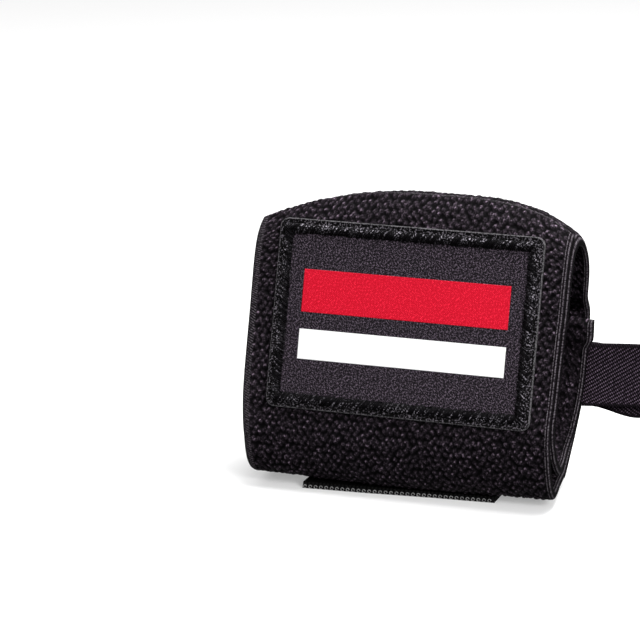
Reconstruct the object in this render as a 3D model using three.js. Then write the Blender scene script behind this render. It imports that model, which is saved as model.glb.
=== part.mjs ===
// A wrist wrap, rolled up and lying on its side.
//
// It is one long elastic strap with a thumb loop sewn to its inner end, a label sewn on the outside and a
// strip of hook tape under it. Millimetres, +Z up. The roll's axis runs along X, the label faces -Y and the
// thumb loop points to +X. The origin is under the middle of the whole part, on the surface it rests on.

import * as THREE from "three";

// Driving dimensions

const GAP = 0.3; // air between pieces that touch
const LEAN = THREE.MathUtils.degToRad(15.2); // how far the front wall leans back
const BAND = { width: 76.2, thickness: 2.5, edgeRound: 0.5 }; // a 3 in strap
const HEM = { rows: 0.5, taperRows: 0.3, extra: 1.2, sideStep: 1.2 }; // the inner end, folded and sewn
const LABEL = { width: 64, height: 44.4, corner: 2.2, middleX: 0.5, middleZ: 42.5, standoff: 1.3, lift: 0.1 };
const BORDER = { width: 3.2, thickness: 1.5, round: 0.6 };
const PANEL = { thickness: 0.9, corner: 0.6 };
const TAPE = { width: 46, middleX: -0.9, thickness: 1.4 };
const LOOP = { thickness: 1.2, rootDepth: 15, reach: 46, edgeOpen: 1.8, open: 3.9, tipOpen: 2.5, twist: 0.32, rise: 0.26 };

const LAYER_PITCH = BAND.thickness + GAP;
const BAND_BOTTOM = TAPE.thickness + GAP; // the strap's underside, over the surface it rests on
const HALF_BAND = BAND.width / 2;

// The front wall is flat: how far back the inner layer's middle line lies there, at a height.
function frontWall(up) {
  const behindLabel = LABEL.standoff + BAND.thickness / 2 + LAYER_PITCH;
  return Math.tan(LEAN) * (up - LABEL.middleZ) + behindLabel / Math.cos(LEAN);
}

// Side profile of the inner layer's middle line, starting at the strap's inner end and winding down the back,
// under, up the front and over the top. One row a place on the way round.
//   back       distance behind the label's middle
//   up         height over the surface
//   swellBack, swellUp   how far the middle of the strap's width stands out from its edges
//   slack      extra room between the inner and the outer layer
//   loopRoom   more room on the right-hand side, where the thumb loop's root lies between the layers
//   skew       how far the left edge lies forward and the right edge back
//   drawIn     how far the right-hand edge is drawn in
//   outerIn    how much further the outer layer's is
//   leftDip    how far the left edge hangs down
//   leftIn     how far the left-hand edge is drawn in
const COLUMNS = "back up swellBack swellUp slack loopRoom skew drawIn outerIn leftDip leftIn".split(" ");
const PROFILE = [
  [26.2, 40.0, 1.6, 0.6, 0.2, 3.0, 0.0, 0.0, 1.4, 0.0, 0.0],
  [25.7, 30.8, 1.4, 0.0, 0.0, 3.0, 0.0, 0.2, 1.3, 0.0, 0.0],
  [24.0, 21.8, 1.2, 0.0, 0.0, 3.0, 0.0, 0.7, 1.2, 0.0, 0.0],
  [21.3, 14.4, 1.0, 0.0, 1.6, 1.4, 0.5, 1.7, 1.2, 0.0, 0.0],
  [16.6, 8.9, 0.0, 0.0, 3.6, 0.0, 2.0, 2.6, 1.0, 0.0, 0.4],
  [10.4, 7.2, 0.0, 0.0, 1.9, 0.0, 3.2, 2.2, 0.6, -0.8, 1.0],
  [4.6, 8.6, 0.0, 0.0, 3.3, 0.0, 3.0, 1.3, 0.3, -1.6, 1.4],
  [0.6, 13.4, 0.0, 0.0, 1.5, 0.0, 1.2, 0.9, 0.3, -1.4, 1.0],
  [frontWall(20), 20.0, 0.0, 0.0, 0.0, 0.0, 0.0, 0.9, 0.3, -0.5, 0.3],
  [frontWall(26), 26.0, 0.0, 0.0, 0.0, 0.0, 0.0, 0.7, 0.3, 0.0, 0.0],
  [frontWall(42), 42.0, 0.0, 0.0, 0.0, 0.0, 0.0, 0.3, 0.3, 0.0, 0.0],
  [frontWall(55), 55.0, 0.8, 3.0, 0.0, 0.0, 0.0, 0.0, 0.3, 0.5, 0.0],
  [11.1, 58.9, 1.6, 6.4, 0.0, 0.0, 0.0, 0.0, 0.3, 1.2, 0.0],
  [15.2, 60.7, 1.6, 8.0, 0.0, 0.0, 0.0, 0.0, 0.3, 1.4, 0.0],
  [20.6, 59.0, 2.2, 7.0, 0.0, 0.0, 0.0, 0.0, 0.0, 1.1, 0.0],
  [24.5, 54.0, 2.6, 4.6, 0.0, 0.0, 0.0, 0.0, 0.5, 0.4, 0.0],
  [26.0, 45.5, 2.2, 2.2, 0.0, 0.6, 0.0, 0.3, 1.4, 0.0, 0.0],
];
const ROWS = PROFILE.length;
const STEPS_PER_ROW = 4;
const OUTER_END = ROWS + 12.5; // where the strap ends, counted in rows from its inner end
const STEP_OUT = { from: 15.3, to: 17.0 }; // where it climbs over its own inner end, in rows
const SWELL_POWER = { left: 2.4, right: 4 }; // how squarely the swell ends at each side
const LOOP_ROOM_X = { from: -6, to: 14 };
const TAPE_ROWS = { back: ROWS + 2.2, flatFrom: ROWS + 4.5, front: ROWS + 5.9, steps: 16 };
const LOOP_ROWS = { middle: 1.5, half: 0.81 }; // where the thumb loop's root lies on the inner layer

const { lerp, smoothstep } = THREE.MathUtils;

// The strap's shape: a place is counted in rows from the inner end, x across the strap, height off its middle

function closedCurve(...names) {
  const columns = names.map((name) => COLUMNS.indexOf(name));
  const points = PROFILE.map((row) => new THREE.Vector3(...columns.map((column) => row[column])));
  return new THREE.CatmullRomCurve3(points, true, "centripetal");
}

const middleLine = closedCurve("back", "up");
const swellLine = closedCurve("swellBack", "swellUp", "drawIn");
const roomLine = closedCurve("slack", "loopRoom", "skew");
const edgeLine = closedCurve("outerIn", "leftDip", "leftIn");

function outerShare(place) {
  return smoothstep(place, STEP_OUT.from, STEP_OUT.to);
}

function rightEdge(place) {
  const t = (place % ROWS) / ROWS;
  return HALF_BAND - swellLine.getPoint(t).z - outerShare(place) * edgeLine.getPoint(t).x;
}

function leftEdge(place) {
  return HALF_BAND - edgeLine.getPoint((place % ROWS) / ROWS).z;
}

function middlePoint(place, x) {
  const t = (place % ROWS) / ROWS;
  const base = middleLine.getPoint(t);
  const along = middleLine.getTangent(t);
  const swell = 1 - Math.min(1, Math.abs(x) / HALF_BAND) ** (x < 0 ? SWELL_POWER.left : SWELL_POWER.right);
  const swellBy = swellLine.getPoint(t);
  const room = roomLine.getPoint(t);
  const loopRoom = room.y * smoothstep(x, LOOP_ROOM_X.from, LOOP_ROOM_X.to);
  const offset = outerShare(place) * (LAYER_PITCH + room.x + loopRoom);
  const back = base.x + swell * swellBy.x - along.y * offset + (room.z * x) / HALF_BAND;
  const leftDip = (edgeLine.getPoint(t).y * Math.min(0, x)) / HALF_BAND;
  const up = base.y + swell * swellBy.y + along.x * offset + leftDip;
  return new THREE.Vector2(back, Math.max(up, BAND_BOTTOM + BAND.thickness / 2));
}

function strapPoint(place, x, height) {
  const nearby = 0.02;
  const before = middlePoint(Math.max(0, place - nearby), x);
  const along = middlePoint(place + nearby, x).sub(before).normalize();
  const middle = middlePoint(place, x);
  return new THREE.Vector3(x, middle.x - along.y * height, middle.y + along.x * height);
}

// One closed body through a row of rings, with flat ends. Every ring follows the same flat section.
function bodyThroughRings(rings, section) {
  const count = section.length;
  const last = (rings.length - 1) * count;
  const faces = [];
  for (let start = 0; start < last; start += count) {
    for (let i = 0; i < count; i += 1) {
      const a = start + i;
      const b = start + ((i + 1) % count);
      faces.push(a, b + count, b, a, a + count, b + count);
    }
  }
  for (const [a, b, c] of THREE.ShapeUtils.triangulateShape(section, [])) {
    faces.push(a, b, c, last + a, last + c, last + b);
  }
  const geometry = new THREE.BufferGeometry().setFromPoints(rings.flat());
  geometry.setIndex(faces);
  return geometry;
}

// The section of a flat strip through places across it, counter-clockwise, from height -1 to 1.
function stripSection(across) {
  const lower = across.map((place) => new THREE.Vector2(place, -1));
  const upper = across.map((place) => new THREE.Vector2(place, 1));
  return [...lower, ...upper.reverse()];
}

function evenly(from, to, steps) {
  return Array.from({ length: steps + 1 }, (_, i) => lerp(from, to, i / steps));
}

function named(name, geometry, color, roughness) {
  const mesh = new THREE.Mesh(geometry, new THREE.MeshStandardMaterial({ color, roughness, metalness: 0 }));
  mesh.name = name;
  return mesh;
}

// The elastic strap, rolled up from its inner end

function elasticBand() {
  const inset = 1 - BAND.edgeRound / HALF_BAND;
  const section = stripSection([-1, ...evenly(-inset, inset, 10), 1]);
  const rings = evenly(0, OUTER_END, Math.round(OUTER_END * STEPS_PER_ROW)).map((place) => {
    const hem = 1 - smoothstep(place, HEM.rows, HEM.rows + HEM.taperRows);
    const left = leftEdge(place);
    const right = rightEdge(place) + hem * HEM.sideStep;
    return section.map(({ x: across, y: side }) => {
      const x = across * (across > 0 ? right : left);
      const edge = Math.abs(across) === 1 ? BAND.edgeRound : 0;
      const fold = side < 0 ? hem * HEM.extra : 0;
      return strapPoint(place, x, side * (BAND.thickness / 2 - edge + fold));
    });
  });
  return named("elastic_band", bodyThroughRings(rings, section), 0x1c1a1e, 0.85);
}

// The label on the front wall: a flat panel inside a raised border

function roundedRectangle(width, height, corner) {
  const x = width / 2 - corner;
  const y = height / 2 - corner;
  const shape = new THREE.Shape();
  shape.absarc(x, -y, corner, -Math.PI / 2, 0);
  shape.absarc(x, y, corner, 0, Math.PI / 2);
  shape.absarc(-x, y, corner, Math.PI / 2, Math.PI);
  shape.absarc(-x, -y, corner, Math.PI, Math.PI * 1.5);
  shape.closePath();
  return shape;
}

function labelPanel() {
  const margin = 2 * (BORDER.width + GAP);
  const shape = roundedRectangle(LABEL.width - margin, LABEL.height - margin, PANEL.corner);
  const options = { depth: PANEL.thickness, bevelEnabled: false, curveSegments: 3 };
  return named("label_panel", new THREE.ExtrudeGeometry(shape, options), 0x2a2a30, 0.7);
}

function labelBorder() {
  const { width, thickness, round } = BORDER;
  const shape = roundedRectangle(LABEL.width - 2 * round, LABEL.height - 2 * round, LABEL.corner - round);
  const hole = 2 * (width - round);
  shape.holes.push(roundedRectangle(LABEL.width - hole, LABEL.height - hole, PANEL.corner + round));
  const geometry = new THREE.ExtrudeGeometry(shape, {
    depth: thickness - 2 * round,
    bevelThickness: round,
    bevelSize: round,
    bevelSegments: 2,
    curveSegments: 4,
  });
  geometry.translate(0, 0, round);
  return named("label_border", geometry, 0x17171b, 0.6);
}

function label() {
  const group = new THREE.Group();
  group.add(labelPanel(), labelBorder());
  group.position.set(LABEL.middleX, 0, LABEL.middleZ);
  group.rotation.x = Math.PI / 2 - LEAN;
  group.translateZ(GAP + LABEL.lift - LABEL.standoff);
  return group;
}

// The hook tape, sewn to the outer layer where it runs under the roll and up the back

function hookTape() {
  const section = stripSection(evenly(-1, 1, 6));
  const middle = BAND.thickness / 2 + GAP + TAPE.thickness / 2;
  const rings = evenly(TAPE_ROWS.back, TAPE_ROWS.front, TAPE_ROWS.steps).map((place) =>
    section.map(({ x: across, y: side }) => {
      const x = TAPE.middleX + (across * TAPE.width) / 2;
      const point = strapPoint(place, x, middle + (side * TAPE.thickness) / 2);
      if (place > TAPE_ROWS.flatFrom) point.z = side > 0 ? 0 : TAPE.thickness; // too stiff to follow the strap up
      return point;
    }),
  );
  return named("hook_tape", bodyThroughRings(rings, section), 0x141416, 0.6);
}

// The thumb loop: one narrow strip, with its two ends between the layers of the back wall

function thumbLoop() {
  const near = BAND.thickness / 2 + GAP + LOOP.thickness / 2;
  const far = near + LOOP.thickness + GAP;
  const middle = (near + far) / 2;
  const rootX = HALF_BAND - LOOP.rootDepth;
  const tipX = HALF_BAND + LOOP.reach - LOOP.thickness / 2;
  const openSteps = [
    { x: rootX, off: far - middle },
    { x: HALF_BAND - 4, off: far - middle },
    { x: HALF_BAND + 4, off: far - middle + 0.2 },
    { x: HALF_BAND + 14, off: LOOP.edgeOpen },
    { x: HALF_BAND + 26, off: LOOP.open },
    { x: HALF_BAND + 36, off: LOOP.open },
    { x: tipX - 2.5, off: LOOP.tipOpen },
  ];
  const out = openSteps.map(({ x, off }) => new THREE.Vector3(x, middle - off, 0));
  const back = openSteps.map(({ x, off }) => new THREE.Vector3(x, middle + off, 0)).reverse();
  const path = new THREE.CatmullRomCurve3([...out, new THREE.Vector3(tipX, middle, 0), ...back]);
  const section = stripSection(evenly(-1, 1, 4));
  const rings = evenly(0, 1, 44).map((t) => {
    const at = path.getPoint(t);
    const along = path.getTangent(t);
    const twist = LOOP.twist * smoothstep(t, 0.3, 0.7) * smoothstep(at.x, HALF_BAND, HALF_BAND + 12);
    const rise = LOOP.rise * Math.sqrt(smoothstep(at.x, HALF_BAND - 2, tipX));
    return section.map(({ x: across, y: side }) => {
      const height = (side * LOOP.thickness) / 2;
      const place = LOOP_ROWS.middle - across * LOOP_ROWS.half + twist - rise;
      return strapPoint(place, at.x - along.y * height, at.y + along.x * height);
    });
  });
  return named("thumb_loop", bodyThroughRings(rings, section), 0x1a181c, 0.8);
}

const wristWrap = new THREE.Group();
wristWrap.add(elasticBand(), label(), hookTape(), thumbLoop());
const box = new THREE.Box3().setFromObject(wristWrap, true);
const centre = box.getCenter(new THREE.Vector3());
wristWrap.position.set(-centre.x, -centre.y, -box.min.z);

export default wristWrap;
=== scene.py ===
# %% [markdown]
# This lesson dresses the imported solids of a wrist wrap, which is rolled up and lies on its side. The solids
# give every place and size. Here the elastic strap gets its pebbled weave, the label its twill and its sewn
# edge, and the hook tape its hooks. The frame comes first, because every piece rides on it.

# %% load the frame
import math

import bmesh
import bpy
import numpy as np
from mathutils import Matrix, Vector


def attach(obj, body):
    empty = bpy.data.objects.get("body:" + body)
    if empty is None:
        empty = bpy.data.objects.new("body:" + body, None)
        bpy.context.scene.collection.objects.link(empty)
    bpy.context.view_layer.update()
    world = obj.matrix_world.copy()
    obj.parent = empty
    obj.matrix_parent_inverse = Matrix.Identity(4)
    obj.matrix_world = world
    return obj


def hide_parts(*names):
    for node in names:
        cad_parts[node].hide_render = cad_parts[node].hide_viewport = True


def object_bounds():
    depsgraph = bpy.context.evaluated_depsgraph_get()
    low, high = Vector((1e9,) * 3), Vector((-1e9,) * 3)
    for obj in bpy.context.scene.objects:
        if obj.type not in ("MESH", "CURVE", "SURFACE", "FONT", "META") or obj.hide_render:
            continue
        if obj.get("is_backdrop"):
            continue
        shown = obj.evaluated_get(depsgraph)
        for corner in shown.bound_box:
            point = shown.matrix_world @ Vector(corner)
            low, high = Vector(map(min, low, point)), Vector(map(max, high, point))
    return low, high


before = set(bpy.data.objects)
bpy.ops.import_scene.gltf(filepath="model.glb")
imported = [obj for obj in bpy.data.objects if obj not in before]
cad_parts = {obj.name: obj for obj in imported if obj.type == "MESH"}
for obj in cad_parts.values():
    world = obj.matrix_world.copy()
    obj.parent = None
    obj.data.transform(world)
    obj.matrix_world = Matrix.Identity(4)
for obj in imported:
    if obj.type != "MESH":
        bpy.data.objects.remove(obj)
cad_low, cad_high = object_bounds()
MM = 0.001
print("solids:", ", ".join(sorted(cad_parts)))
print("box in mm:", [round(side / MM, 1) for side in cad_high - cad_low])

# %% [markdown]
# The camera stands where the photograph's stood: a little right of the label and above it, with a long lens,
# so that the label hardly tapers. Its view is centred to the right of the label, past the thumb loop's root.

# %% camera
CAMERA_AZIMUTH, CAMERA_ELEVATION = math.radians(19.5), math.radians(15)
CAMERA_DISTANCE, CAMERA_LENS = 0.646, 157.5
LABEL_MIDDLE = Vector((-0.023225, -0.014387, 0.0425))
AIM_LEFT, AIM_UP = 0.0184, 0.00058

scene = bpy.context.scene
right = Vector((math.cos(CAMERA_AZIMUTH), math.sin(CAMERA_AZIMUTH), 0))
back = Vector(
    (
        math.sin(CAMERA_AZIMUTH) * math.cos(CAMERA_ELEVATION),
        -math.cos(CAMERA_AZIMUTH) * math.cos(CAMERA_ELEVATION),
        math.sin(CAMERA_ELEVATION),
    )
)
up = back.cross(right)
camera = bpy.data.objects.new("camera", bpy.data.cameras.new("camera"))
camera.data.lens = CAMERA_LENS
camera.matrix_world = Matrix((right, up, back)).transposed().to_4x4()
camera.location = LABEL_MIDDLE - AIM_LEFT * right + AIM_UP * up + CAMERA_DISTANCE * back
scene.collection.objects.link(camera)
scene.camera = camera
print("camera at", [round(v, 3) for v in camera.location])

# %% [markdown]
# The wrap lies on a white table that is lit until it almost glows, as in a catalogue. The strap is nearly
# black, so its weave only reads by what the lights graze: a wide soft box overhead, one at the front right
# that gives each bead a bright side, and two weak ones for the label's left half and the top bend. A broad
# ceiling light keeps the table white far behind the wrap. A white table would also light the strap from below
# and turn its black to a haze, so the table takes shadows but gives no light back.

# %% floor and lights
WORLD_LIGHT, CEILING_LIGHT, CEILING_ANGLE = 0.3, 1.3, math.radians(100)
FLOOR_HALF_SIDE = 3
# Each soft box has its place and its two sides in metres, and its power in watts.
SOFT_BOXES = {
    "overhead": ((0.08, 0.0, 0.7), (0.4, 0.3), 8.0),
    "front_left": ((-0.45, -0.5, 0.5), (0.2, 0.25), 0.6),
    "front_right": ((0.52, -0.47, 0.36), (0.25, 0.3), 6.2),
    "behind": ((0.35, 0.5, 0.45), (0.3, 0.3), 1.6),
}

scene.view_settings.view_transform = "Standard"
scene.world = bpy.data.worlds.new("studio")
scene.world.use_nodes = True
scene.world.node_tree.nodes["Background"].inputs["Color"].default_value = (1, 1, 1, 1)
scene.world.node_tree.nodes["Background"].inputs["Strength"].default_value = WORLD_LIGHT


def soft_box(name, place, size, watts):
    light = bpy.data.lights.new(name, "AREA")
    light.shape = "RECTANGLE"
    light.size, light.size_y = size
    light.energy = watts
    lamp = bpy.data.objects.new(name, light)
    lamp.location = place
    aim = LABEL_MIDDLE - lamp.location
    lamp.rotation_euler = aim.to_track_quat("-Z", "Y").to_euler()
    scene.collection.objects.link(lamp)


for box_name, (box_place, box_size, box_watts) in SOFT_BOXES.items():
    soft_box(box_name, Vector(box_place), box_size, box_watts)

ceiling_light = bpy.data.lights.new("ceiling", "SUN")
ceiling_light.energy, ceiling_light.angle = CEILING_LIGHT, CEILING_ANGLE
scene.collection.objects.link(bpy.data.objects.new("ceiling", ceiling_light))

floor_mesh = bpy.data.meshes.new("floor")
shape = bmesh.new()
bmesh.ops.create_grid(shape, x_segments=1, y_segments=1, size=FLOOR_HALF_SIDE)
shape.to_mesh(floor_mesh)
shape.free()
floor = bpy.data.objects.new("floor", floor_mesh)
scene.collection.objects.link(floor)
floor.visible_diffuse = floor.visible_glossy = False
floor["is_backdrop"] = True

# %% [markdown]
# A finish is a material whose nodes are written as sums. A wire stands for one socket on its way to the next:
# adding or multiplying wires adds the Math nodes, so a pattern reads like the formula that it is.

# %% wires and finishes
class Wire:
    def __init__(self, finish, socket):
        self.finish = finish
        self.socket = socket

    def math(self, operation, *others):
        return self.finish.node("ShaderNodeMath", {"operation": operation}, [self, *others])

    def __add__(self, other):
        return self.math("ADD", other)

    def __sub__(self, other):
        return self.math("SUBTRACT", other)

    def __rsub__(self, other):
        return self.finish.node("ShaderNodeMath", {"operation": "SUBTRACT"}, [other, self])

    def __mul__(self, other):
        return self.math("MULTIPLY", other)

    def __truediv__(self, other):
        return self.math("DIVIDE", other)

    def __pow__(self, other):
        return self.math("POWER", other)

    def size(self):
        return self.math("ABSOLUTE")

    def most(self, other):
        return self.math("MAXIMUM", other)

    def fade(self, start, end):
        """0 before start, 1 past end."""
        settings = {"interpolation_type": "SMOOTHSTEP"}
        sockets = {"Value": self, "From Min": start, "From Max": end}
        return self.finish.node("ShaderNodeMapRange", settings, sockets)


class Finish:
    def __init__(self, name, roughness=0.7, gloss=0.5):
        self.material = bpy.data.materials.new(name)
        self.material.use_nodes = True
        self.tree = self.material.node_tree
        self.shader = self.tree.nodes["Principled BSDF"]
        self.shader.inputs["Roughness"].default_value = roughness
        self.shader.inputs["Specular IOR Level"].default_value = gloss

    def node(self, kind, settings=None, sockets=None, output=0):
        node = self.tree.nodes.new(kind)
        for name, value in (settings or {}).items():
            setattr(node, name, value)
        keyed = sockets if isinstance(sockets, dict) else dict(enumerate(sockets or []))
        for key, value in keyed.items():
            if isinstance(value, Wire):
                self.tree.links.new(value.socket, node.inputs[key])
            else:
                node.inputs[key].default_value = value
        return Wire(self, node.outputs[output])

    def parts(self, vector):
        return [self.node("ShaderNodeSeparateXYZ", None, [vector], axis) for axis in range(3)]

    def vector(self, *values):
        return self.node("ShaderNodeCombineXYZ", None, values)

    def laid_flat(self):
        """Where a point lay before it was rolled up: across and along in mm, and a third value."""
        return self.parts(self.node("ShaderNodeAttribute", {"attribute_name": "laid_flat"}, None, 1))

    def noise(self, vector, scale, detail=2.0):
        sockets = {"Vector": vector, "Scale": scale, "Detail": detail}
        return self.node("ShaderNodeTexNoise", None, sockets)

    def mix(self, share, first, second):
        """A colour between two, each a colour's four numbers or a wire."""
        sockets = {0: share, 6: first, 7: second}
        return self.node("ShaderNodeMix", {"data_type": "RGBA"}, sockets, 2)

    def drive(self, name, wire):
        self.tree.links.new(wire.socket, self.shader.inputs[name])

    def relief(self, height, depth_mm):
        """Height from 0 to 1 stands this far out, and shades by a bump."""
        sockets = {"Height": height, "Distance": depth_mm * MM, "Strength": 1.0}
        self.drive("Normal", self.node("ShaderNodeBump", None, sockets))


def grey(level, tint=(1, 1, 1)):
    return (*[level * share for share in tint], 1)


TABLE_GREY, TABLE_GLOW = 0.6, 0.33
table_top = Finish("white_table", roughness=0.4)
table_top.shader.inputs["Base Color"].default_value = grey(TABLE_GREY)
table_top.shader.inputs["Emission Color"].default_value = grey(1.0)
table_top.shader.inputs["Emission Strength"].default_value = TABLE_GLOW
floor.data.materials.append(table_top.material)
print("floor finish:", table_top.material.name)

# %% [markdown]
# The roll is one long strap, so its shape is a side profile and a rule. Each row of the table is a place on
# the way round the inner turn, and the same rows serve the outer turn, one layer further out. These are the
# part's own driving sizes, so that the dressed strap fills the space of its solid, apart from its relief.

# %% the roll's side profile
GAP = 0.3
LEAN = math.radians(15.2)
BAND_WIDTH, BAND_THICKNESS = 76.2, 2.5
HALF_BAND = BAND_WIDTH / 2
LAYER_PITCH = BAND_THICKNESS + GAP
LABEL_UP, LABEL_STANDOFF = 42.5, 1.3
TAPE_THICKNESS = 1.4
BAND_BOTTOM = TAPE_THICKNESS + GAP


def front_wall(height):
    behind_label = LABEL_STANDOFF + BAND_THICKNESS / 2 + LAYER_PITCH
    return math.tan(LEAN) * (height - LABEL_UP) + behind_label / math.cos(LEAN)


COLUMNS = "back up swell_back swell_up slack loop_room skew draw_in outer_in left_dip left_in".split()
PROFILE = np.array(
    [
        (26.2, 40.0, 1.6, 0.6, 0.2, 3.0, 0.0, 0.0, 1.4, 0.0, 0.0),
        (25.7, 30.8, 1.4, 0.0, 0.0, 3.0, 0.0, 0.2, 1.3, 0.0, 0.0),
        (24.0, 21.8, 1.2, 0.0, 0.0, 3.0, 0.0, 0.7, 1.2, 0.0, 0.0),
        (21.3, 14.4, 1.0, 0.0, 1.6, 1.4, 0.5, 1.7, 1.2, 0.0, 0.0),
        (16.6, 8.9, 0.0, 0.0, 3.6, 0.0, 2.0, 2.6, 1.0, 0.0, 0.4),
        (10.4, 7.2, 0.0, 0.0, 1.9, 0.0, 3.2, 2.2, 0.6, -0.8, 1.0),
        (4.6, 8.6, 0.0, 0.0, 3.3, 0.0, 3.0, 1.3, 0.3, -1.6, 1.4),
        (0.6, 13.4, 0.0, 0.0, 1.5, 0.0, 1.2, 0.9, 0.3, -1.4, 1.0),
        (front_wall(20), 20.0, 0.0, 0.0, 0.0, 0.0, 0.0, 0.9, 0.3, -0.5, 0.3),
        (front_wall(26), 26.0, 0.0, 0.0, 0.0, 0.0, 0.0, 0.7, 0.3, 0.0, 0.0),
        (front_wall(42), 42.0, 0.0, 0.0, 0.0, 0.0, 0.0, 0.3, 0.3, 0.0, 0.0),
        (front_wall(55), 55.0, 0.8, 3.0, 0.0, 0.0, 0.0, 0.0, 0.3, 0.5, 0.0),
        (11.1, 58.9, 1.6, 6.4, 0.0, 0.0, 0.0, 0.0, 0.3, 1.2, 0.0),
        (15.2, 60.7, 1.6, 8.0, 0.0, 0.0, 0.0, 0.0, 0.3, 1.4, 0.0),
        (20.6, 59.0, 2.2, 7.0, 0.0, 0.0, 0.0, 0.0, 0.0, 1.1, 0.0),
        (24.5, 54.0, 2.6, 4.6, 0.0, 0.0, 0.0, 0.0, 0.5, 0.4, 0.0),
        (26.0, 45.5, 2.2, 2.2, 0.0, 0.6, 0.0, 0.3, 1.4, 0.0, 0.0),
    ]
)
ROWS = len(PROFILE)
OUTER_END = ROWS + 12.5
STEP_OUT_FROM, STEP_OUT_TO = 15.3, 17.0
SWELL_POWER_LEFT, SWELL_POWER_RIGHT = 2.4, 4.0
LOOP_ROOM_FROM, LOOP_ROOM_TO = -6.0, 14.0
print("profile rows:", ROWS, "of", len(COLUMNS), "columns")

# %% [markdown]
# A smooth line has to pass through the rows. Blender's own curves would do it, but the strap asks for a
# point at any place, hundreds of thousands of times, so the same centripetal spline that made the solids is
# written out once, for whole arrays of places.

# %% splines through the rows
def spline(points, closed):
    """A function that gives the smooth line through points at any place, counted in points."""
    points = np.asarray(points, float)
    count = len(points)
    if not closed:
        points = np.vstack([points, 2 * points[-1] - points[-2], 2 * points[0] - points[1]])

    def at(place):
        place = np.asarray(place, float)
        start = np.floor(place).astype(int)
        if not closed:
            start = np.clip(start, 0, count - 2)
        share = (place - start)[..., None]
        p0, p1, p2, p3 = (points[(start + step) % len(points)] for step in (-1, 0, 1, 2))

        def knot(a, b):
            return np.sum((a - b) ** 2, axis=-1, keepdims=True) ** 0.25

        d1 = knot(p1, p2)
        d1 = np.where(d1 < 1e-4, 1.0, d1)
        d0, d2 = (np.where(d < 1e-4, d1, d) for d in (knot(p0, p1), knot(p2, p3)))
        t1 = ((p1 - p0) / d0 - (p2 - p0) / (d0 + d1) + (p2 - p1) / d1) * d1
        t2 = ((p2 - p1) / d1 - (p3 - p1) / (d1 + d2) + (p3 - p2) / d2) * d1
        square, cube = share**2, share**3
        bend = (3 * (p2 - p1) - 2 * t1 - t2) * square
        return p1 + t1 * share + bend + (2 * (p1 - p2) + t1 + t2) * cube

    return at


def rows_line(*names):
    return spline(PROFILE[:, [COLUMNS.index(name) for name in names]], closed=True)


def smooth(value, start, end):
    share = np.clip((value - start) / (end - start), 0, 1)
    return share * share * (3 - 2 * share)


middle_line = rows_line("back", "up")
swell_line = rows_line("swell_back", "swell_up", "draw_in")
room_line = rows_line("slack", "loop_room", "skew")
edge_line = rows_line("outer_in", "left_dip", "left_in")
print("highest middle line:", round(float(middle_line(np.linspace(0, ROWS, 200))[:, 1].max()), 2), "mm")

# %% [markdown]
# Now the rule that rolls the strap up. A place is counted in rows from the inner end, x runs across the
# strap and the height is off its middle. The step from the inner to the outer turn is at the upper back.

# %% a point of the rolled strap
SHIFT = Vector((-22.975, -14.387, 0.0))


def outer_share(place):
    return smooth(place, STEP_OUT_FROM, STEP_OUT_TO)


def right_edge(place):
    return HALF_BAND - swell_line(place)[..., 2] - outer_share(place) * edge_line(place)[..., 0]


def left_edge(place):
    return HALF_BAND - edge_line(place)[..., 2]


def middle_point(place, x):
    step = 1e-3
    base = middle_line(place)
    way = middle_line(place + step) - middle_line(place - step)
    way /= np.linalg.norm(way, axis=-1, keepdims=True)
    power = np.where(x < 0, SWELL_POWER_LEFT, SWELL_POWER_RIGHT)
    swell = 1 - np.minimum(1, np.abs(x) / HALF_BAND) ** power
    swell_by, room = swell_line(place), room_line(place)
    loop_room = room[..., 1] * smooth(x, LOOP_ROOM_FROM, LOOP_ROOM_TO)
    offset = outer_share(place) * (LAYER_PITCH + room[..., 0] + loop_room)
    left_dip = edge_line(place)[..., 1] * np.minimum(0, x) / HALF_BAND
    depth = base[..., 0] + swell * swell_by[..., 0] - way[..., 1] * offset + room[..., 2] * x / HALF_BAND
    level = base[..., 1] + swell * swell_by[..., 1] + way[..., 0] * offset + left_dip
    return np.stack([depth, np.maximum(level, BAND_BOTTOM + BAND_THICKNESS / 2)], axis=-1)


def strap_point(place, x, height):
    """Points of the rolled strap in the row frame, in metres."""
    nearby = 0.02
    way = middle_point(place + nearby, x) - middle_point(np.maximum(0, place - nearby), x)
    way /= np.linalg.norm(way, axis=-1, keepdims=True)
    middle = middle_point(place, x)
    depth = middle[..., 0] - way[..., 1] * height
    level = middle[..., 1] + way[..., 0] * height
    return (np.stack([x, depth, level], axis=-1) + np.array(SHIFT)) * MM


PATH_STEPS = 1200
places = np.linspace(0, OUTER_END, PATH_STEPS)
centre_line = middle_point(places, np.zeros_like(places))
steps = np.linalg.norm(np.diff(centre_line, axis=0), axis=1)
lengths = np.concatenate([[0], np.cumsum(steps)])
STRAP_LENGTH = lengths[-1]
print("strap length:", round(STRAP_LENGTH), "mm")

# %% [markdown]
# Cloth is easiest to make the way it is made: flat. A grid gets its thickness while it lies flat, and every
# point keeps its flat place in an attribute, for the weave to follow. Then the rule rolls it up. Rolling a
# finished pattern like this keeps each stitch its true size round every bend.

# %% a flat slab of cloth
def flat_slab(across_cells, along_cells):
    """A flat closed slab: across and along from 0 to 1, and -1 and 1 through it, with sharp ends."""
    slab = bmesh.new()
    bmesh.ops.create_grid(slab, x_segments=across_cells, y_segments=along_cells, size=0.5)
    bmesh.ops.translate(slab, verts=slab.verts, vec=(0.5, 0.5, -1))
    bmesh.ops.solidify(slab, geom=slab.faces[:], thickness=-2)
    bmesh.ops.recalc_face_normals(slab, faces=slab.faces)
    for edge in slab.edges:
        ends = [vert.co.y for vert in edge.verts]
        edge.smooth = not (max(ends) < 1e-6 or min(ends) > 1 - 1e-6)
    return slab


def points_of(shape):
    return np.array([vert.co for vert in shape.verts])


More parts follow.
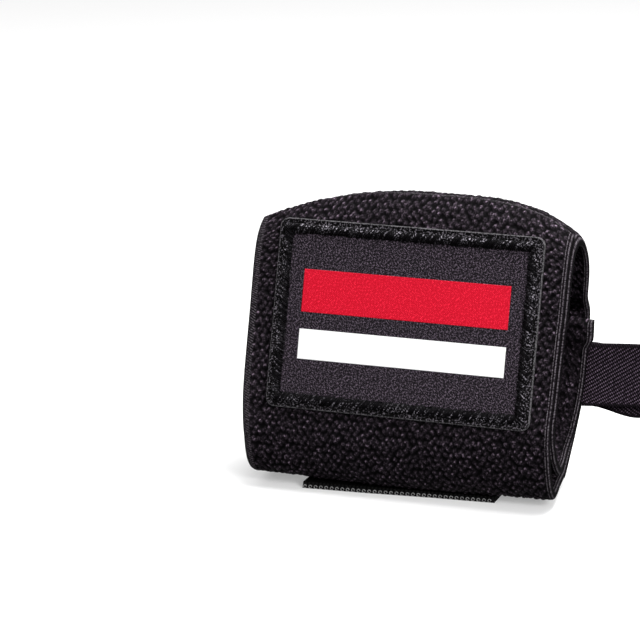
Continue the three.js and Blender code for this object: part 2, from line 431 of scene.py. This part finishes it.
def finish_piece(name, shape, points, finish, laid_flat=None):
    """A new object whose vertices are at these points, and remember where they lay flat."""
    mesh = bpy.data.meshes.new(name)
    shape.to_mesh(mesh)
    shape.free()
    mesh.vertices.foreach_set("co", np.asarray(points, np.float32).ravel())
    if laid_flat is not None:
        attribute = mesh.attributes.new("laid_flat", "FLOAT_VECTOR", "POINT")
        attribute.data.foreach_set("vector", np.asarray(laid_flat, np.float32).ravel())
    mesh.polygons.foreach_set("use_smooth", [True] * len(mesh.polygons))
    mesh.materials.append(finish.material)
    mesh.update()
    piece = bpy.data.objects.new(name, mesh)
    scene.collection.objects.link(piece)
    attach(piece, "root")
    print(name, "has", sum(len(face.vertices) - 2 for face in mesh.polygons), "triangles")
    return piece


test_slab = flat_slab(2, 2)
low, high = points_of(test_slab).min(0), points_of(test_slab).max(0)
print("slab from", low, "to", high, "closed:", all(edge.is_manifold for edge in test_slab.edges))
test_slab.free()

# %% [markdown]
# The elastic is knitted in staggered rows of beads, about 1.6 mm wide and 2.5 mm from bead to bead along the
# strap. A photograph shows how little alike they are: each leans, sits a little off its place and has its own
# height. So every bead gets its own throw of a die, made from its row and column, which is the same each run.

# %% the weave's sizes
BEAD_WIDTH = BAND_WIDTH / 48
BEAD_LENGTH = 2.5
BEAD_HEIGHT, BEAD_PROUD = 0.6, 0.15
SELVEDGE = 1.3
CORD_PITCH, TURN_PITCH = 0.6, 0.62
LEFT_SELVEDGE_WIDER = 0.8
DIE_WEIGHTS, DIE_SPREAD = (12.9898, 78.233, 37.719), 43758.5453
PLACE_DICE, SHAPE_DICE, GLINT_DIE = (1, 2), (5, 8), 11
# The sizes below are shares of a bead's cell. A bead is a dome, painted light on top and shade at its foot,
# with a painted highlight on a spot off its middle.
BEAD_WANDER, BEAD_LEAN, LOWEST_BEAD = 0.3, 1.5, 0.6
DOME_HALF_WIDTH, DOME_HALF_LENGTH, DOME_TAPER = 0.5, 0.36, 0.14
GLINT_X, GLINT_Y, GLINT_HALF_WIDTH, GLINT_HALF_LENGTH = -0.12, 0.09, 0.24, 0.15
DOME_LIGHT, GLINT_TONE = 0.32, 0.68


def die(*counts):
    """A number from 0 to 1 for each set of counts, always the same one."""
    mixed = sum(count * weight for count, weight in zip(counts, DIE_WEIGHTS))
    return np.abs(np.sin(mixed) * DIE_SPREAD) % 1


def beads(across, along):
    """The knit's height and its painted light and shade, each from 0 to 1, for arrays of flat places."""
    height, painted_shading = np.zeros_like(across), np.zeros_like(across)
    for shift in (0.0, 0.5):
        column, row = across / BEAD_WIDTH + shift, along / BEAD_LENGTH + shift
        cell = np.floor(column), np.floor(row)
        off_x, off_y = (die(*cell, shift * 2 + number) - 0.5 for number in PLACE_DICE)
        tall, lean = (die(*cell, shift * 2 + number) for number in SHAPE_DICE)
        y = row - cell[1] - 0.5 - off_y * BEAD_WANDER
        x = column - cell[0] - 0.5 - off_x * BEAD_WANDER + (lean - 0.5) * BEAD_LEAN * y
        half_length = DOME_HALF_LENGTH + DOME_TAPER * x
        dome = np.maximum(1 - (x / DOME_HALF_WIDTH) ** 2 - (y / half_length) ** 2, 0)
        # A painted highlight on a spot off each bead's middle, brighter on some beads than on others.
        glint_x, glint_y = (x - GLINT_X) / GLINT_HALF_WIDTH, (y - GLINT_Y) / GLINT_HALF_LENGTH
        painted_glint = np.maximum(1 - glint_x**2 - glint_y**2, 0)
        height = np.maximum(height, np.sqrt(dome) * (LOWEST_BEAD + (1 - LOWEST_BEAD) * tall))
        bright = painted_glint * GLINT_TONE * die(*cell, shift * 2 + GLINT_DIE)
        # Painted light on each dome's top, fading to painted shade between the beads.
        painted_shading = np.maximum(painted_shading, dome * DOME_LIGHT + bright)
    return height, painted_shading


print("beads across:", int(BAND_WIDTH / BEAD_WIDTH), "along:", int(STRAP_LENGTH / BEAD_LENGTH))

# %% [markdown]
# The finish reads each bead's painted light and shade from the mesh: black painted shade deep between the
# beads, and on top a violet grey painted light with a painted highlight, fuzzy with single fibres. Each edge
# of the strap is a firm selvedge. The right one shows two pale cords, and the left, wider one the turns of
# thread that cross it.

# %% the pebbled elastic's finish
elastic = Finish("pebbled_elastic", gloss=0.04)
# The third value read here is each bead's painted light and shade, kept in the mesh.
across, along, knit = elastic.laid_flat()
fibres = elastic.noise(elastic.vector(across * 1.2, along, 0.0), 2.0, 4.0)
patches = elastic.noise(elastic.vector(across, along, 0.0), 0.5, 2.0)
to_edge = HALF_BAND - across.size()
on_right = across.fade(-1.0, 1.0)
selvedge = 1 - (to_edge - (1 - on_right) * LEFT_SELVEDGE_WIDER).fade(SELVEDGE - 0.4, SELVEDGE)
cords = (to_edge * (math.pi / CORD_PITCH)).math("SINE").size()
turns = ((along + to_edge * 0.5) * (math.pi / TURN_PITCH)).math("SINE").size()
cord_relief = cords * on_right * 0.8 + turns * (1 - on_right * 0.8)
height = knit * (1 - selvedge) + cord_relief * selvedge * 0.4
# Painted light on the bead tops and the cord crests, painted shade between them.
lit = (height**2.0) * (fibres.fade(0.44, 0.6) * 0.85 + 0.15) * (patches * 0.9 + 0.45)
lines = (cords**9.0) * (turns * 0.5 + 0.5) * on_right + (turns**2.0) * 0.35 * (1 - on_right)
cut_end = 1 - (float(STRAP_LENGTH) - along).fade(0.5, 0.9)
pale = (selvedge * lines).most(cut_end * 0.25) * fibres.fade(0.35, 0.6)
GAP_SHADE = grey(0.001, (1, 0.8, 1.1))
TOP_LIGHT = grey(0.4, (1.05, 0.79, 1.05))
CORD = grey(0.12, (1, 0.93, 1))
elastic.drive("Base Color", elastic.mix(pale, elastic.mix(lit, GAP_SHADE, TOP_LIGHT), CORD))
elastic.drive("Roughness", 0.75 - height * 0.35)
elastic.relief(fibres + cord_relief * selvedge * 2.0, 0.14)
print("elastic's nodes:", len(elastic.tree.nodes))

# %% [markdown]
# The strap is modelled as three lengths, so that those outside can afford a grid of 0.4 mm. No one sees where
# they meet: the front length meets the back one under the roll, and the back one meets the inner turn where
# the strap's outer end covers it.

# %% the elastic strap
HEM_ROWS, HEM_TAPER_ROWS, HEM_EXTRA, HEM_SIDE_STEP = 0.5, 0.3, 1.2, 1.2
EDGE_PROFILE = ([0, 0.15, 0.4, 0.8, 1.2], [0.3, 0.52, 0.76, 0.93, 1.0])
COVERED_ROW, JOIN_ROW = 11.9, ROWS + 5.0
INNER_CELLS_ACROSS, OUTER_CELLS_ACROSS = 130, 180
INNER_POINTS, BACK_POINTS, FRONT_POINTS = 160, 230, 207
EDGE_ZONE, END_ZONE = 2.1, 1.2
BARE_EDGE, KNIT_PAST_END = 0.5, 0.6
KNIT_FROM, KNIT_FULL = 0.2, 1.0


def across_strap(cells):
    """Places across the strap, closer together along both edges."""
    rim = np.array([0, 0.15, 0.4, 0.8, 1.2, 1.6])
    middle = np.linspace(EDGE_ZONE, BAND_WIDTH - EDGE_ZONE, cells + 1 - 2 * len(rim))
    return np.concatenate([rim, middle, BAND_WIDTH - rim[::-1]]) - HALF_BAND


def elastic_length(name, across_places, along_places):
    """A length of the elastic strap, flat cells first, then beads, then the roll."""
    slab = flat_slab(len(across_places) - 1, len(along_places) - 1)
    flat = points_of(slab)
    across, along = (
        np.interp(share * (len(steps) - 1), np.arange(len(steps)), steps)
        for share, steps in ((flat[:, 0], across_places), (flat[:, 1], along_places))
    )
    side, place = flat[:, 2], np.interp(along, lengths, places)
    hem = 1 - smooth(place, HEM_ROWS, HEM_ROWS + HEM_TAPER_ROWS)
    right_side = right_edge(place) + hem * HEM_SIDE_STEP
    x = across * np.where(across > 0, right_side, left_edge(place)) / HALF_BAND
    from_edge = HALF_BAND - np.abs(across)
    from_end = np.minimum(along, STRAP_LENGTH - along)
    rounding = np.interp(np.minimum(from_edge, from_end), *EDGE_PROFILE)
    knit, painted_shading = beads(across, along)
    bare_edge = np.where(across < 0, BARE_EDGE + LEFT_SELVEDGE_WIDER, BARE_EDGE)
    knitted = smooth(np.minimum(from_edge - bare_edge, from_end + KNIT_PAST_END), KNIT_FROM, KNIT_FULL)
    relief = (knit * BEAD_HEIGHT - BEAD_HEIGHT + BEAD_PROUD) * knitted
    fold = np.where(side < 0, hem * HEM_EXTRA, 0)
    height = side * ((BAND_THICKNESS / 2 + fold) * rounding + relief)
    # The third value kept is each bead's painted light and shade.
    laid = np.stack([across, along, painted_shading], axis=1)
    piece = finish_piece(name, slab, strap_point(place, x, height), elastic, laid)
    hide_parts("elastic_band")
    return piece


def at_row(row):
    return np.interp(row, places, lengths)


covered_at, join_at = at_row(COVERED_ROW), at_row(JOIN_ROW)
end_steps = np.array([0.8, 0.4, 0.15, 0])
inner_along = np.concatenate([end_steps[::-1], np.linspace(END_ZONE, covered_at, INNER_POINTS)])
back_along = np.linspace(covered_at, join_at, BACK_POINTS)
front_middle = np.linspace(join_at, STRAP_LENGTH - END_ZONE, FRONT_POINTS)
front_along = np.concatenate([front_middle, STRAP_LENGTH - end_steps])
inner_strap = elastic_length("elastic_inner", across_strap(INNER_CELLS_ACROSS), inner_along)
back_strap = elastic_length("elastic_back", across_strap(OUTER_CELLS_ACROSS), back_along)
front_strap = elastic_length("elastic_front", across_strap(OUTER_CELLS_ACROSS), front_along)
print("lengths in mm:", round(covered_at), round(join_at - covered_at), round(STRAP_LENGTH - join_at))

# %% [markdown]
# The label is a twill patch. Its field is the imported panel, and only needs its finish: fine diagonal ribs,
# and across the middle a broad red stripe over a narrower white one, woven in with a brighter thread.

# %% the label's field
LABEL_X, LABEL_WIDTH, LABEL_HEIGHT = 0.5, 64.0, 44.4
TWILL_PITCH = 0.32
STRIPE_HALF_WIDTH, STRIPE_BLUR = 25.0, 0.1
RED_STRIPE, WHITE_STRIPE = (0.5, 10.5), (-10.5, -3.5)

twill = Finish("label_twill", roughness=0.55, gloss=0.06)
row_x, _, row_z = twill.parts(twill.node("ShaderNodeTexCoord", None, None, 3))
label_x = row_x / MM - (LABEL_X + SHIFT.x)
label_z = (row_z / MM - LABEL_UP) / math.cos(LEAN)
twill_place = twill.vector(label_x, label_z, 0.0)
fuzz = twill.noise(twill_place, 1.6, 3.0)
grain = twill.noise(twill.vector(label_x + label_z, (label_x - label_z) * 0.6, 0.0), 2.6, 3.0)
rib = ((label_x + label_z + fuzz * 0.4) * (math.pi / TWILL_PITCH / math.sqrt(2))).math("SINE").size()
speckle = grain.fade(0.46, 0.68) * (rib * 0.6 + 0.4)


def stripe(low_z, high_z):
    sides = 1 - label_x.size().fade(STRIPE_HALF_WIDTH - STRIPE_BLUR, STRIPE_HALF_WIDTH + STRIPE_BLUR)
    over_low = label_z.fade(low_z - STRIPE_BLUR, low_z + STRIPE_BLUR)
    over_high = label_z.fade(high_z - STRIPE_BLUR, high_z + STRIPE_BLUR)
    return sides * over_low * (1 - over_high)


red_stripe = stripe(*RED_STRIPE)
white_stripe = stripe(*WHITE_STRIPE)
field = twill.mix(speckle, grey(0.004, (1, 0.8, 1.1)), grey(0.11, (1, 0.77, 1.03)))
red = twill.mix(speckle, (0.42, 0.003, 0.015, 1), (0.74, 0.016, 0.045, 1))
white = twill.mix(speckle, grey(0.8), grey(0.95))
twill.drive("Base Color", twill.mix(white_stripe, twill.mix(red_stripe, field, red), white))
twill.drive("Roughness", 0.75 - speckle * 0.25)
twill.relief(rib * 0.4 + grain * 0.6 + (red_stripe + white_stripe) * 0.9, 0.14)
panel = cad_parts["label_panel"]
panel.data.materials.clear()
panel.data.materials.append(twill.material)
print("label finish on", panel.name)

# %% [markdown]
# Round the field runs a border: a folded edge that shows as one pale line, a dark margin and a thick ridge of
# overlock stitching. The base of it is a flat strip again, bent round the rounded rectangle.

# %% the label's border
BORDER_WIDTH, LABEL_CORNER = 3.2, 2.2
BORDER_BACK = GAP + 0.1 - LABEL_STANDOFF
BORDER_PROFILE = ([0, 0.2, 0.45, 1.15, 1.4, 2.3, 3.1, 3.2], [0.5, 0.85, 0.7, 0.6, 0.8, 1.2, 0.9, 0.7])
HALF_STRAIGHT_X, HALF_STRAIGHT_Z = LABEL_WIDTH / 2 - LABEL_CORNER, LABEL_HEIGHT / 2 - LABEL_CORNER
QUARTER_TURN = LABEL_CORNER * math.pi / 2
OUTLINE_ENDS = np.cumsum([0] + [2 * HALF_STRAIGHT_X, QUARTER_TURN, 2 * HALF_STRAIGHT_Z, QUARTER_TURN] * 2)
OUTLINE_LENGTH = OUTLINE_ENDS[-1]
CORNER_SIDE_X = np.array([-1, 1, 1, 1, 1, -1, -1, -1])
CORNER_SIDE_Z = np.array([-1, -1, -1, 1, 1, 1, 1, -1])
BORDER_CELLS_ACROSS, BORDER_CELLS_ALONG = 16, 840


def label_border_point(inset, along, out):
    """Points round the label: inset from its outline, along it, and out from its back, in mm."""
    distance = along % OUTLINE_LENGTH
    piece = np.clip(np.searchsorted(OUTLINE_ENDS, distance, side="right") - 1, 0, 7)
    into = distance - OUTLINE_ENDS[piece]
    turn = piece // 2 * (math.pi / 2) + np.where(piece % 2 == 1, into / LABEL_CORNER, 0)
    run = np.where(piece % 2 == 0, into, 0)
    reach = LABEL_CORNER - inset
    x = CORNER_SIDE_X[piece] * HALF_STRAIGHT_X + np.cos(turn) * run + np.sin(turn) * reach
    z = CORNER_SIDE_Z[piece] * HALF_STRAIGHT_Z + np.sin(turn) * run - np.cos(turn) * reach
    out = out + BORDER_BACK
    depth = math.sin(LEAN) * z - math.cos(LEAN) * out
    level = LABEL_UP + math.cos(LEAN) * z + math.sin(LEAN) * out
    return (np.stack([x + LABEL_X, depth, level], axis=-1) + np.array(SHIFT)) * MM


border_finish = Finish("label_border", roughness=0.6, gloss=0.03)
inset, along, out = border_finish.laid_flat()
fuzz = border_finish.noise(border_finish.vector(inset, along, out), 2.6, 3.0)
folded = (1 - inset.fade(0.2, 0.32)) * (fuzz.fade(0.4, 0.55) * 0.75 + 0.25)
margin = border_finish.mix(fuzz.fade(0.53, 0.63), grey(0.0015), grey(0.1, (1, 0.9, 1.05)))
border_finish.drive("Base Color", border_finish.mix(folded, margin, grey(0.085, (1, 0.96, 1.02))))
border_finish.relief(fuzz, 0.12)

slab = flat_slab(BORDER_CELLS_ACROSS, BORDER_CELLS_ALONG)
flat = points_of(slab)
inset = (1 - flat[:, 0]) * BORDER_WIDTH
out = np.where(flat[:, 2] > 0, np.interp(inset, *BORDER_PROFILE), 0)
along = flat[:, 1] * OUTLINE_LENGTH
laid = np.stack([inset, along, out], axis=1)
bent = label_border_point(inset, along, out)
border = finish_piece("label_edge", slab, bent, border_finish, laid)
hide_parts("label_border")

# %% [markdown]
# The ridge itself is thread: some eight hundred turns of it, each an arch over the strip, a little slanted
# and never quite like the next. One arch is spun from a small ring, an Array modifier repeats it along a
# straight line, and then the line is bent round the label like everything else. Some turns are paler.

# %% the overlock ridge
THREAD_PITCH, THREAD_RADIUS, ARCH_RADIUS = 0.27, 0.14, 0.88
RIDGE_INSET, RIDGE_FOOT = 2.25, 0.6
RIDGE_DICE = (1.0, 2.0, 3.0, 4.0)
STRAY_INWARD = 0.75


def repeated(shape, count, pitch):
    """Copies of a shape in a row along Y, as one new bmesh."""
    mesh = bpy.data.meshes.new("row")
    shape.to_mesh(mesh)
    shape.free()
    row = bpy.data.objects.new("row", mesh)
    array = row.modifiers.new("row", "ARRAY")
    array.count = count
    array.use_relative_offset, array.use_constant_offset = False, True
    array.constant_offset_displace = (0, pitch, 0)
    scene.collection.objects.link(row)
    copies = bmesh.new()
    copies.from_object(row, bpy.context.evaluated_depsgraph_get())
    bpy.data.objects.remove(row)
    return copies


def spun_arch(thread, radius, turned, steps, sides):
    """A thread bent to part of a ring about Y, with closed ends."""
    arch = bmesh.new()
    ring = bmesh.ops.create_circle(arch, segments=sides, radius=thread)["verts"]
    bmesh.ops.translate(arch, verts=ring, vec=(radius, 0, 0))
    edges = arch.edges[:]
    bmesh.ops.spin(arch, geom=ring + edges, cent=(0, 0, 0), axis=(0, -1, 0), angle=turned, steps=steps)
    bmesh.ops.holes_fill(arch, edges=[edge for edge in arch.edges if edge.is_boundary], sides=sides)
    bmesh.ops.recalc_face_normals(arch, faces=arch.faces)
    return arch


thread_finish = Finish("overlock_thread", roughness=0.5, gloss=0.04)
turn_across, turn_along, paleness = thread_finish.laid_flat()
fuzz = thread_finish.noise(thread_finish.vector(turn_across, turn_along, 0.0), 2.7, 2.0)
frosted = paleness * fuzz.fade(0.52, 0.6) * (1 - turn_across.fade(1.7, 2.9) * 0.85)
thread_colour = thread_finish.mix(frosted, grey(0.002, (1, 0.85, 1.1)), grey(0.36, (1, 0.93, 1.06)))
thread_finish.drive("Base Color", thread_colour)
thread_finish.relief(fuzz, 0.06)

turn_count = round(OUTLINE_LENGTH / THREAD_PITCH)
turn_pitch = OUTLINE_LENGTH / turn_count
arch = spun_arch(THREAD_RADIUS, ARCH_RADIUS, math.pi, steps=6, sides=5)
arches = repeated(arch, turn_count, turn_pitch)
flat = points_of(arches)
turn_number = np.round(flat[:, 1] / turn_pitch)
slant, rise, wander, pale = (die(turn_number, number) for number in RIDGE_DICE)
stray = np.maximum(flat[:, 0], 0) * STRAY_INWARD * wander
inset = RIDGE_INSET + flat[:, 0] * (0.95 + 0.1 * rise) + stray
along = flat[:, 1] + flat[:, 0] * (0.45 + 0.7 * slant)
out = RIDGE_FOOT + flat[:, 2] * (0.85 + 0.25 * rise)
laid = np.stack([inset, along, smooth(pale, 0.35, 1.0)], axis=1)
bent = label_border_point(inset, along, out)
ridge = finish_piece("overlock_ridge", arches, bent, thread_finish, laid)
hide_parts("label_border")
print("turns of thread:", turn_count)

# %% [markdown]
# The thumb loop is one narrow elastic, out and back. Its two ends lie between the strap's layers, so it
# follows the same rule as the strap: x is how far out it has come, and its height is off the strap's middle.
# It is woven as a twill, whose steep ribs are raised in the mesh and beaded by the finish. The finish also
# paints shade into the valleys between ribs and stitches, and light on their crests.

# %% the thumb loop
LOOP_THICKNESS, LOOP_ROOT_DEPTH, LOOP_REACH, LOOP_HALF_WIDTH = 1.2, 15.0, 46.0, 8.0
LOOP_EDGE_OPEN, LOOP_OPEN, LOOP_TIP_OPEN = 1.8, 3.9, 2.5
LOOP_TWIST, LOOP_RISE = 0.32, 0.26
LOOP_ROW, LOOP_HALF_ROWS = 1.5, 0.81
RIB_PITCH, RIB_HEIGHT, RIB_ANGLE, STITCH_PITCH = 0.84, 0.16, math.radians(32), 0.5
LOOP_PATH_STEPS, LOOP_CELLS_ACROSS, LOOP_CELLS_ALONG = 600, 64, 300
TWIST_FROM, TWIST_FULL, TWIST_RUN_OUT = 0.3, 0.7, 12
PLAIN_EDGE, EDGE_ROUND, EDGE_THINNED = 0.8, 0.4, 0.6

near_ply = BAND_THICKNESS / 2 + GAP + LOOP_THICKNESS / 2
loop_middle = near_ply + (LOOP_THICKNESS + GAP) / 2
root_x, tip_x = HALF_BAND - LOOP_ROOT_DEPTH, HALF_BAND + LOOP_REACH - LOOP_THICKNESS / 2
ply = loop_middle - near_ply
# Each row is a place out of the strap, and how far each ply lies from the loop's middle there.
opening = [
    (root_x, ply),
    (HALF_BAND - 4, ply),
    (HALF_BAND + 4, ply + 0.2),
    (HALF_BAND + 14, LOOP_EDGE_OPEN),
    (HALF_BAND + 26, LOOP_OPEN),
    (HALF_BAND + 36, LOOP_OPEN),
    (tip_x - 2.5, LOOP_TIP_OPEN),
]
way_out = [(x_out, loop_middle - off) for x_out, off in opening]
way_back = [(x_out, loop_middle + off) for x_out, off in reversed(opening)]
loop_path = spline([*way_out, (tip_x, loop_middle), *way_back], closed=False)
loop_steps = len(way_out) * 2
walk = loop_path(np.linspace(0, loop_steps, LOOP_PATH_STEPS))
walked = np.concatenate([[0], np.cumsum(np.linalg.norm(np.diff(walk, axis=0), axis=1))])

loop_finish = Finish("twill_elastic", gloss=0.03)
across, along, rib = loop_finish.laid_flat()
fuzz = loop_finish.noise(loop_finish.vector(across, along, 0.0), 1.8, 3.0)
down_the_rib = across * math.sin(RIB_ANGLE) + along * math.cos(RIB_ANGLE)
stitches = (down_the_rib * (math.pi / STITCH_PITCH)).math("SINE").size()
height = rib * (stitches * 0.75 + 0.25)
# Painted shade in the valleys between ribs and stitches, painted light on their crests.
loop_lit = (height**3.5) * (fuzz.fade(0.35, 0.6) * 0.75 + 0.25)
loop_colour = loop_finish.mix(loop_lit, grey(0.0012, (1, 0.8, 1.05)), grey(0.2, (1.03, 0.74, 1.05)))
loop_finish.drive("Base Color", loop_colour)
loop_finish.drive("Roughness", 0.75 - height * 0.25)
loop_finish.relief(stitches * 0.7 + fuzz * 0.3, 0.12)

slab = flat_slab(LOOP_CELLS_ACROSS, LOOP_CELLS_ALONG)
flat = points_of(slab)
at = loop_path(flat[:, 1] * loop_steps)
way = loop_path(flat[:, 1] * loop_steps + 1e-3) - loop_path(flat[:, 1] * loop_steps - 1e-3)
way /= np.linalg.norm(way, axis=1, keepdims=True)
spread = flat[:, 0] * 2 - 1
across = spread * LOOP_HALF_WIDTH
along = np.interp(flat[:, 1] * (LOOP_PATH_STEPS - 1), np.arange(LOOP_PATH_STEPS), walked)
phase = across * math.cos(RIB_ANGLE) - along * math.sin(RIB_ANGLE)
from_edge = LOOP_HALF_WIDTH - np.abs(across)
rib = np.where(from_edge > PLAIN_EDGE, np.abs(np.sin(phase * math.pi / RIB_PITCH)), 0.5)
rounding = np.interp(from_edge, [0, EDGE_ROUND], [EDGE_THINNED, 1.0])
off = flat[:, 2] * (LOOP_THICKNESS / 2 * rounding + (rib - 1) * RIB_HEIGHT)
out_of_strap = smooth(at[:, 0], HALF_BAND, HALF_BAND + TWIST_RUN_OUT)
twist = LOOP_TWIST * smooth(flat[:, 1], TWIST_FROM, TWIST_FULL) * out_of_strap
rise = LOOP_RISE * np.sqrt(smooth(at[:, 0], HALF_BAND - 2, tip_x))
loop_row = LOOP_ROW - spread * LOOP_HALF_ROWS + twist - rise
loop_points = strap_point(loop_row, at[:, 0] - way[:, 1] * off, at[:, 1] + way[:, 0] * off)
laid = np.stack([across, along, rib], axis=1)
loop = finish_piece("thumb_loop_elastic", slab, loop_points, loop_finish, laid)
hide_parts("thumb_loop")

# %% [markdown]
# The hook tape lies under the roll, and only its front edge shows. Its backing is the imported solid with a
# finish of dark woven cords. The hooks are open loops of stiff grey thread: one is spun and repeated in a
# row, and the row is laid along the tape's front edge.

# %% the hook tape
HOOK_PITCH, HOOK_RADIUS, HOOK_WIRE = 1.3, 0.38, 0.11
HOOK_TURN, HOOK_MOTTLE = math.radians(310), 900.0
TAPE_WIDTH, TAPE_MIDDLE_X, TAPE_CORD_PITCH = 46.0, -0.9, 0.9
NEAR_FLOOR, SAME_X = 0.1, 0.02

tape_finish = Finish("hook_tape", roughness=0.7, gloss=0.03)
tape_x, _, _ = tape_finish.parts(tape_finish.node("ShaderNodeTexCoord", None, None, 3))
tape_cords = (tape_x * (math.pi / (TAPE_CORD_PITCH * MM))).math("SINE").size()
tape_finish.drive("Base Color", tape_finish.mix(tape_cords, grey(0.0008), grey(0.005)))
tape_finish.relief(tape_cords, 0.2)
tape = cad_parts["hook_tape"]
tape.data.materials.clear()
tape.data.materials.append(tape_finish.material)

hook_finish = Finish("hook_thread", roughness=0.35)
hook_place = hook_finish.node("ShaderNodeTexCoord", None, None, 3)
hook_tone = hook_finish.noise(hook_place, HOOK_MOTTLE)
hook_finish.drive("Base Color", hook_finish.mix(hook_tone, grey(0.08), grey(0.3)))
tape_points = np.array([vert.co for vert in tape.data.vertices]) / MM
floor_points = tape_points[tape_points[:, 2] < NEAR_FLOOR]
front_x = np.unique(floor_points[:, 0].round(2))
front_y = np.array([floor_points[np.abs(floor_points[:, 0] - x) < SAME_X, 1].min() for x in front_x])
hook_count = int(TAPE_WIDTH / HOOK_PITCH)
hook = spun_arch(HOOK_WIRE, HOOK_RADIUS, HOOK_TURN, steps=9, sides=6)
hooks = repeated(hook, hook_count, 0.0)
flat = points_of(hooks)
hook_number = np.arange(len(flat)) // (len(flat) // hook_count)
hook_middle = TAPE_MIDDLE_X - TAPE_WIDTH / 2 + (hook_number + 0.5) * HOOK_PITCH + SHIFT.x
hook_points = flat + np.stack(
    [
        hook_middle,
        np.interp(hook_middle, front_x, front_y) - HOOK_WIRE,
        np.full_like(hook_middle, HOOK_RADIUS + HOOK_WIRE),
    ],
    axis=1,
)
hook_row = finish_piece("hook_row", hooks, hook_points * MM, hook_finish)
print("hooks:", hook_count)

# %% [markdown]
# Last come the sizes. The dressed wrap should keep the box of its solids, so its new box is measured, and the
# difference from the solids' box is printed.

# %% sizes, and the end
new_low, new_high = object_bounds()
for side_name, growth in (("low", cad_low - new_low), ("high", new_high - cad_high)):
    print("grown at the", side_name, "sides, in mm:", [round(v / MM, 2) for v in growth])
